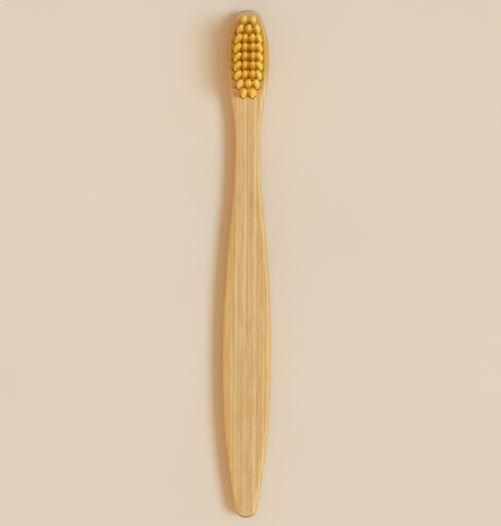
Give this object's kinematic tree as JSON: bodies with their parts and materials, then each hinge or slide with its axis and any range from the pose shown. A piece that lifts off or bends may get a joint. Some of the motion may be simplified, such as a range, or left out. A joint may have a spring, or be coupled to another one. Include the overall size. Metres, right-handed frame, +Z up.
{
  "type": "manual toothbrush",
  "caption": "Flat bamboo toothbrush with an oval head of amber bristle tufts, a narrow neck and a tapered grip; each tuft is folded into a blind hole under a flat wire anchor.",
  "frame": {"origin": "middle of the brush's length and width, on the surface that its flat back lies on", "axes": "+Y along the brush towards the tip of the head, +Z up out of the flat back along the bristles, +X to the right seen from above with the head away"},
  "size_m": [0.0172, 0.18, 0.016],
  "materials": {
    "bamboo": "sanded and waxed bamboo with straight fibres along the handle",
    "bristle": "amber nylon filament, slightly translucent",
    "anchor_wire": "bright rolled flat wire"
  },
  "bodies": {
    "root": {"handle": "bamboo", "tuft_1_1": "bristle", "tuft_1_2": "bristle", "tuft_2_1": "bristle", "tuft_2_2": "bristle", "tuft_2_3": "bristle", "tuft_3_1": "bristle", "tuft_3_2": "bristle", "tuft_3_3": "bristle", "tuft_3_4": "bristle", "tuft_4_1": "bristle", "tuft_4_2": "bristle", "tuft_4_3": "bristle", "tuft_4_4": "bristle", "tuft_5_1": "bristle", "tuft_5_2": "bristle", "tuft_5_3": "bristle", "tuft_5_4": "bristle", "tuft_6_1": "bristle", "tuft_6_2": "bristle", "tuft_6_3": "bristle", "tuft_6_4": "bristle", "tuft_7_1": "bristle", "tuft_7_2": "bristle", "tuft_7_3": "bristle", "tuft_7_4": "bristle", "tuft_8_1": "bristle", "tuft_8_2": "bristle", "tuft_8_3": "bristle", "tuft_9_1": "bristle", "tuft_9_2": "bristle", "anchors_row_1": "anchor_wire", "anchors_row_2": "anchor_wire", "anchors_row_3": "anchor_wire", "anchors_row_4": "anchor_wire", "anchors_row_5": "anchor_wire", "anchors_row_6": "anchor_wire", "anchors_row_7": "anchor_wire", "anchors_row_8": "anchor_wire", "anchors_row_9": "anchor_wire"}
  },
  "joints": []
}
